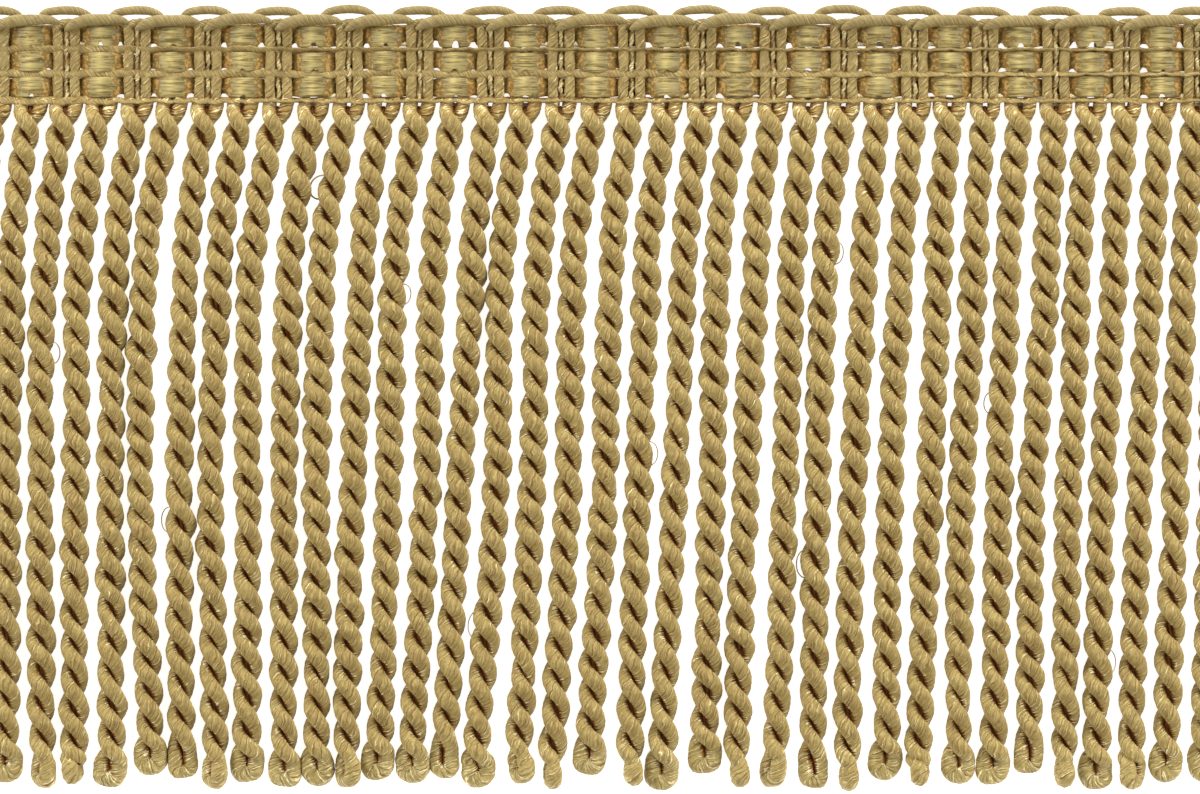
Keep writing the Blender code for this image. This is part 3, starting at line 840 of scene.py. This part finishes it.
def ribbon_material(name, light, dark, amber, deep):
    """Make the satin of untwisted filaments that run along the ribbon, with painted shade at the sides of
    each block and a painted highlight down its middle.
    """
    material, tree, shader = new_material(name)
    place = add_node(tree, "ShaderNodeTexCoord").outputs["Object"]
    stretch = add_node(tree, "ShaderNodeMapping")
    stretch.inputs["Scale"].default_value = (0.08, 1.0, 0.3)
    tree.links.new(place, stretch.inputs["Vector"])
    fine = noise(tree, stretch.outputs[0], 0.16, 3.0)
    broad = noise(tree, stretch.outputs[0], 0.55, 2.0)
    relief = maths(tree, "MULTIPLY_ADD", broad, 0.8, fine)
    tone = mix_colour(tree, smooth_step(tree, relief, *SATIN_RELIEF), dark, light)
    uv = add_node(tree, "ShaderNodeUVMap", uv_map="yarn").outputs[0]
    split = add_node(tree, "ShaderNodeSeparateXYZ")
    tree.links.new(uv, split.inputs[0])
    # Painted light: each block's satin is lighter at its middle and darker towards its sides, with a narrow
    # painted highlight down the middle
    turn = maths(tree, "MULTIPLY_ADD", split.outputs[0], 2 * PI / PERIOD, 0.2 - 1.5 * PI)
    crest = maths(tree, "MULTIPLY_ADD", maths(tree, "COSINE", turn), 0.5, 0.5)
    painted_highlight = maths(tree, "MULTIPLY", maths(tree, "POWER", crest, 40.0), noise(tree, place, 2.2, 1.0))
    painted_dome_light = maths(tree, "MULTIPLY_ADD", maths(tree, "POWER", crest, 2.5), 0.50, 0.30)
    painted_dome_light = maths(tree, "MULTIPLY_ADD", painted_highlight, 0.40, painted_dome_light)
    painted_dome_light_colour = add_node(tree, "ShaderNodeCombineColor")
    for channel, share in enumerate((1.0, 0.97, 0.84)):
        tree.links.new(maths(tree, "MULTIPLY", painted_dome_light, share), painted_dome_light_colour.inputs[channel])
    tone = mix_colour(tree, 1.0, tone, painted_dome_light_colour.outputs[0], "MULTIPLY")
    depth = add_node(tree, "ShaderNodeAttribute", attribute_name="painted_shade").outputs["Fac"]
    flecks = noise(tree, place, 0.42, 2.0)
    clouds = noise(tree, place, 1.7, 2.0)
    # Painted shade at the block's sides, broken into amber and deep streaks with golden flecks
    streak = maths(tree, "MULTIPLY_ADD", fine, -1.0, maths(tree, "ADD", depth, 0.5))
    streak = maths(tree, "MULTIPLY_ADD", flecks, 1.3, maths(tree, "ADD", streak, -1.25))
    streak = maths(tree, "MULTIPLY_ADD", clouds, 1.2, streak)
    to_amber = smooth_step(tree, streak, *AMBER_STREAKS)
    side_colour = mix_colour(tree, smooth_step(tree, flecks, *GOLDEN_FLECKS), amber, GOLD_FLECK)
    colour = mix_colour(tree, to_amber, tone, side_colour)
    colour = mix_colour(tree, smooth_step(tree, streak, *DEEP_STREAKS), colour, deep)
    tree.links.new(colour, shader.inputs["Base Color"])
    height = add_node(tree, "ShaderNodeBump")
    height.inputs["Strength"].default_value = 0.8
    height.inputs["Distance"].default_value = 0.06 * MM
    tree.links.new(relief, height.inputs["Height"])
    tree.links.new(height.outputs[0], shader.inputs["Normal"])
    shader.inputs["Roughness"].default_value = 0.42
    shader.inputs["Anisotropic"].default_value = 0.5
    # Less gloss in the painted shade
    gloss = maths(tree, "MULTIPLY_ADD", to_amber, -0.22, 0.26)
    tree.links.new(gloss, shader.inputs["Specular IOR Level"])
    return material


BINDING_ROWS = (49.2, 73.6, 100.4)
BINDING_RADII = (0.55, 0.55, 0.58)


def build_binding(material):
    """Build the yarns that cross the face of the heading and dip between its ribs."""
    yarns = Yarns()
    for number, pixel_row in enumerate(BINDING_ROWS):
        lowest = number == len(BINDING_ROWS) - 1
        x = np.linspace(TRIM_LEFT + 0.05, TRIM_LEFT + TRIM_LENGTH - 0.05, CORD_COUNT * 24 + 1)
        from_ply = np.abs((x - TRIM_LEFT) % CORD_PITCH - CORD_PITCH / 2)
        on_ply = np.exp(-((from_ply - UPRIGHT_SPACING) / 0.60) ** 2)
        over_block = np.round((x - root_x(0)) / CORD_PITCH) % 2 == 1
        if lowest:
            z = 1.34 + 0.48 * on_ply
        else:
            z = np.where(over_block, 1.44 - 0.26 * blend(1.5, 2.3, from_ply), 1.06 + 0.52 * on_ply)
        z = smoothed(z, 4)
        y = from_row(pixel_row) + 0.07 * np.sin(x * 1.3 + number) + 0.06 * np.sin(x * 3.1 + 2 * number)
        if lowest:
            y = y - 0.12 * on_ply
        path = np.stack([x, y, z], axis=1)
        floor_z = 0.75 if lowest else 0.65

        def painted_shade(points, share_along, floor_z=floor_z):
            """Painted shade: darken the yarn where it dips between ribs and where it lies low between the
            ribbons.
            """
            from_block = from_block_middle(points[:, :, 0])
            between_ribbons = 0.10 * (1 - blend(1.9, 2.7, from_block))
            return between_ribbons + 0.6 * (1 - blend(floor_z, floor_z + 0.5, points[:, :, 2]))

        yarns.tube(
            path, BINDING_RADII[number], 0.3, 8, flat=0.38, ridge=yarn_ridge(BINDING_LAY, 3, 0.020, 0.05),
            painted_shade=painted_shade, seed=number * 3.1,
        )
    nodes = ["binding_yarn_lower", "binding_yarn_upper"]
    return declare(yarns.build("heading_binding", material), nodes)


def build_ground(material):
    """Build the dark yarns behind the face: one in each pair's gap and one along each row's foot."""
    yarns = Yarns()
    rng = np.random.default_rng(12)

    for index in range(0, CORD_COUNT, 2):
        row = 100.0
        while row > 32.0:
            stop = max(row - rng.uniform(5.0, 15.0), 28.0)
            y = np.linspace(from_row(row), from_row(stop), 8)
            x = root_x(index) + 0.06 * np.sin(y * 1.9 + index)
            path = np.stack([x, y, np.full_like(y, 0.72)], axis=1)
            yarns.tube(path, 0.60, 0.5, 6, flat=0.55, seed=index)
            row = stop - (rng.uniform(3.0, 7.0) if rng.random() < 0.45 else 0.0)
    x = np.linspace(TRIM_LEFT + 0.1, TRIM_LEFT + TRIM_LENGTH - 0.1, 900)
    for pixel_row in GROUND_ROWS:
        y = from_row(pixel_row) + 0.1 * np.sin(x * 0.8 + pixel_row)
        path = np.stack([x, y, np.full_like(x, 0.45)], axis=1)
        yarns.tube(path, 0.36, 0.45, 6, seed=pixel_row)
    return declare(yarns.build("heading_ground", material), ["heading_band"])


def build_tie_threads(material):
    """Build the thin pale thread that zigzags down between the two plies of each pair."""
    yarns = Yarns()
    for index in range(0, CORD_COUNT, 2):
        y = np.linspace(from_row(TIE_FOOT_ROW), from_row(TIE_TOP_ROW), 110)
        x = root_x(index) + 0.09 * np.sin(y * 1.9 + index) + 0.04 * np.sin(y * 4.1 + index)
        z = 1.04 + 0.24 * np.cos(y * 1.9 + index * 0.7) + 0.12 * np.cos(y * 3.3 + index * 1.9)
        for strand in (0, 1):
            twist = -(y * 3.6 + strand * PI + index)
            path = np.stack([x + 0.14 * np.cos(twist), y, z + 0.14 * np.sin(twist)], axis=1)
            yarns.tube(path, 0.19, 0.22, 6, seed=index)
    return declare(yarns.build("heading_tie_threads", material), ["heading_band"])


def build_pale_threads(material):
    """Build the short pale threads that show in the holes beside the blocks and over the cords; their cream
    tones are painted light, lighter than the thread itself.
    """
    yarns = Yarns()
    rng = np.random.default_rng(21)
    right_end = TRIM_LEFT + TRIM_LENGTH - 0.2
    for pixel_row in PALE_ROWS:
        for block_number in range(CORD_COUNT // 2):
            for offset in PINHOLE_OFFSETS:
                if rng.random() > 0.30:
                    continue
                middle = root_x(1) + block_number * PERIOD + offset
                x = np.linspace(middle - 0.7, min(middle + 0.7, right_end), 5)
                path = np.stack([x, np.full(5, from_row(pixel_row)), np.full(5, 0.85)], axis=1)
                yarns.tube(path, 0.34, 0.35, 6, flat=0.7, seed=block_number)
    for index in range(CORD_COUNT):
        if rng.random() > 0.45:
            continue
        x = np.linspace(root_x(index) - 0.5, root_x(index) + 0.5, 5)
        path = np.stack([x, np.full(5, from_row(ROOT_PALE_ROW)), np.full(5, 0.85)], axis=1)
        yarns.tube(path, 0.42, 0.35, 6, flat=0.6, seed=index)
    return declare(yarns.build("heading_pale_threads", material), ["heading_band"])


# A loop's path as (across, pixel row, radius) in pixels from its centre, left to right
FRONT_LOOP = (
    (-38.0, 30.0, 1.6), (-36.0, 28.7, 2.7), (-32.0, 26.2, 4.3), (-25.5, 22.9, 5.4), (-14.0, 20.4, 6.0),
    (-1.0, 19.6, 5.7), (11.0, 19.3, 5.2), (18.5, 19.7, 4.5), (24.0, 21.2, 3.5), (28.0, 23.4, 2.6),
)
FRONT_LOOP_Z = (1.90, 2.05, 2.18, 2.25, 2.15, 2.05, 1.95, 1.8, 1.6, 1.4)
BACK_LOOP = (
    (-26.5, 16.0, 3.2), (-24.0, 13.4, 3.7), (-19.5, 11.3, 4.1), (-11.0, 9.7, 4.4), (0.0, 9.1, 4.6),
    (9.0, 9.5, 4.5), (15.5, 11.1, 4.2), (21.0, 13.5, 3.8), (24.5, 16.0, 3.2),
)
BACK_LOOP_Z = (0.70, 0.78, 0.8, 0.8, 0.8, 0.8, 0.8, 0.78, 0.70)


def build_edge_loops(name, node, loop, heights, centres, material):
    """Build one row of loops in which the plies turn over along the top edge."""
    yarns = Yarns()
    left, right = TRIM_LEFT + 0.05, TRIM_LEFT + TRIM_LENGTH - 0.05
    for number, centre in enumerate(centres):
        rng = np.random.default_rng(700 + number + len(name))
        grow = 1 + rng.normal(0, 0.03)
        lift = rng.normal(0, 0.09)
        lean = rng.normal(0, 0.06)
        points = []
        for (across, pixel_row, radius), z in zip(loop, heights):
            x = across * MM_PER_PIXEL
            middle = 1 - (x / 4.2) ** 2
            points.append((
                centre + x * grow, from_row(pixel_row) + lift * middle + lean * x / 4, z,
                radius * MM_PER_PIXEL,
            ))
        curve = smooth_through(points, 14)
        curve = curve[(curve[:, 0] >= left) & (curve[:, 0] <= right)]
        if len(curve) < 6:
            continue
        yarns.tube(
            curve[:, :3], curve[:, 3], 0.2, 12, ridge=yarn_ridge(GIMP_LAY, 3, 0.012, 0.02), flat=1.0,
            seed=number * 1.9,
        )
    return declare(yarns.build(name, material), [node])


# The white surface under the trim, in metres
FLOOR_HALF = 1.2
FLOOR_Z = -0.00005


def build_floor():
    """Lay the trim on a plain white surface that stays bright under it."""
    corners = [
        (x * FLOOR_HALF, y * FLOOR_HALF, FLOOR_Z) for x, y in ((-1, -1), (1, -1), (1, 1), (-1, 1))
    ]
    mesh = bpy.data.meshes.new("floor")
    mesh.from_pydata(corners, [], [(0, 1, 2, 3)])
    floor = bpy.data.objects.new("floor", mesh)
    bpy.context.scene.collection.objects.link(floor)
    material, _, shader = new_material("white_surface")
    shader.inputs["Base Color"].default_value = (0.8, 0.8, 0.8, 1.0)
    shader.inputs["Roughness"].default_value = 0.9
    shader.inputs["Emission Color"].default_value = (1.0, 1.0, 1.0, 1.0)
    shader.inputs["Emission Strength"].default_value = 0.85
    mesh.materials.append(material)


# The tent of light round the trim is brighter low down than straight overhead
LIGHT_FROM_AROUND = 1.23
LIGHT_FROM_ABOVE = 0.22


def aim(thing, target):
    """Turn a light or camera so that it looks at a point."""
    direction = Vector(target) - thing.location
    thing.rotation_euler = direction.to_track_quat("-Z", "Y").to_euler()


def set_stage():
    """Place the floor, the lights and the camera above the trim."""
    scene = bpy.context.scene
    build_floor()
    world = bpy.data.worlds.new("studio")
    world.use_nodes = True
    background = world.node_tree.nodes["Background"]
    background.inputs[0].default_value = (1.0, 1.0, 1.0, 1.0)
    upwards = add_node(world.node_tree, "ShaderNodeSeparateXYZ")
    towards = add_node(world.node_tree, "ShaderNodeTexCoord").outputs["Generated"]
    world.node_tree.links.new(towards, upwards.inputs[0])
    overhead = add_node(world.node_tree, "ShaderNodeMapRange")
    overhead.inputs[3].default_value = LIGHT_FROM_AROUND
    overhead.inputs[4].default_value = LIGHT_FROM_ABOVE
    world.node_tree.links.new(upwards.outputs[2], overhead.inputs[0])
    world.node_tree.links.new(overhead.outputs[0], background.inputs[1])
    scene.world = world
    for name, place, size, power in (
        ("right_light", (0.50, 0.10, 0.34), 0.36, 3.5),
        ("left_light", (-0.50, 0.16, 0.30), 0.36, 3.4),
        ("top_light", (0.08, 0.64, 0.20), 0.16, 3.2),
    ):
        light = bpy.data.lights.new(name, "AREA")
        light.size = size
        light.energy = power
        lamp = bpy.data.objects.new(name, light)
        lamp.location = place
        scene.collection.objects.link(lamp)
        aim(lamp, (0.0, 0.0, 0.0))

    data = bpy.data.cameras.new("camera")
    data.lens = 135.0
    data.sensor_width = 36.0
    data.clip_start = 0.01
    camera = bpy.data.objects.new("camera", data)
    view_width = PHOTO_WIDTH * MM_PER_PIXEL * MM
    distance = view_width * data.lens / data.sensor_width
    camera.location = (PHOTO_CENTRE_X * MM, PHOTO_CENTRE_Y * MM, distance + 0.002)
    camera.rotation_euler = (0.0, 0.0, 0.0)
    scene.collection.objects.link(camera)
    scene.camera = camera
    scene.view_settings.view_transform = "Standard"
    scene.view_settings.look = "None"


set_stage()

# Tones of a yarn from its grooves to its crests
CORD_TONES = (
    (0.170, 0.098, 0.022), (0.240, 0.160, 0.040), (0.325, 0.236, 0.069), (0.430, 0.330, 0.116),
    (0.86, 0.75, 0.42)
)
UPRIGHT_TONES = (
    (0.11, 0.058, 0.012), (0.19, 0.124, 0.034), (0.285, 0.205, 0.064), (0.39, 0.295, 0.104),
    (0.68, 0.57, 0.29)
)
GIMP_TONES = (
    (0.10, 0.062, 0.017), (0.185, 0.132, 0.042), (0.258, 0.196, 0.068), (0.335, 0.264, 0.101),
    (0.62, 0.52, 0.27)
)
PALE_TONES = (
    (0.20, 0.12, 0.035), (0.32, 0.225, 0.08), (0.44, 0.34, 0.145), (0.58, 0.48, 0.24),
    (0.88, 0.80, 0.56)
)
# Cream tones, painted lighter than the pale threads' own colour to stand in for light seen through the
# holes
CREAM_PAINTED_LIGHT_TONES = (
    (0.46, 0.34, 0.15), (0.62, 0.50, 0.26), (0.80, 0.68, 0.40), (0.92, 0.82, 0.56),
    (1.0, 0.94, 0.76)
)
GROUND_TONES = (
    (0.20, 0.095, 0.025), (0.34, 0.190, 0.058), (0.50, 0.310, 0.105), (0.64, 0.440, 0.170),
    (0.90, 0.72, 0.42)
)
# Browns of the painted shade, between the plies of a yarn and at the satin's sides
SHADE_AMBER_BROWN = (0.25, 0.120, 0.028)
DEEP_SHADE_BROWN = (0.140, 0.054, 0.015)
SHADE_AMBER = (0.175, 0.102, 0.026)
RIBBON_DEEP_SHADE = (0.40, 0.220, 0.056)
GOLD_FLECK = (0.36, 0.258, 0.085)

cord_material = yarn_material(
    "cord_yarn", CORD_TONES, DEEP_SHADE_BROWN, CORD_LAY, (5, 8, 12), bump=0.12, sheen=0.35
)
upright_material = yarn_material(
    "upright_yarn", UPRIGHT_TONES, DEEP_SHADE_BROWN, UPRIGHT_LAY, (5, 8, 11), bump=0.14
)
loop_material = yarn_material(
    "edge_yarn", GIMP_TONES, DEEP_SHADE_BROWN, GIMP_LAY, (4, 7, 11), bump=0.06, contrast=0.75
)
binding_material = yarn_material(
    "binding_look", UPRIGHT_TONES, DEEP_SHADE_BROWN, BINDING_LAY, (4, 6, 9), bump=0.06, contrast=0.8
)
tie_material = yarn_material("tie_thread", PALE_TONES, SHADE_AMBER, -1.0, (2, 3, 4), bump=0.03)
painted_light_material = yarn_material("pale_thread_painted_light", CREAM_PAINTED_LIGHT_TONES, SHADE_AMBER, -1.0, (2, 3, 4), bump=0.03)
ground_material = yarn_material("ground_yarn", GROUND_TONES, DEEP_SHADE_BROWN, BINDING_LAY, (3, 5, 7))
satin_material = ribbon_material(
    "satin_ribbon", (0.47, 0.388, 0.172), (0.135, 0.096, 0.030), SHADE_AMBER, RIBBON_DEEP_SHADE
)

routes = cord_routes()
cords = [build_cord(index, routes[index], cord_material) for index in range(CORD_COUNT)]
filaments = build_filaments(routes, tie_material)
uprights = build_uprights(upright_material)
satin = build_ribbons(satin_material)
binding = build_binding(binding_material)
ground = build_ground(ground_material)
ties = build_tie_threads(tie_material)
painted_light_threads = build_pale_threads(painted_light_material)
front_centres = [root_x(index) for index in range(-1, CORD_COUNT + 1, 2)]
back_centres = [root_x(index) for index in range(0, CORD_COUNT + 2, 2)]
front = build_edge_loops(
    "edge_front", "edge_loops_front", FRONT_LOOP, FRONT_LOOP_Z, front_centres, loop_material
)
back = build_edge_loops("edge_back", "edge_loops_back", BACK_LOOP, BACK_LOOP_Z, back_centres, loop_material)
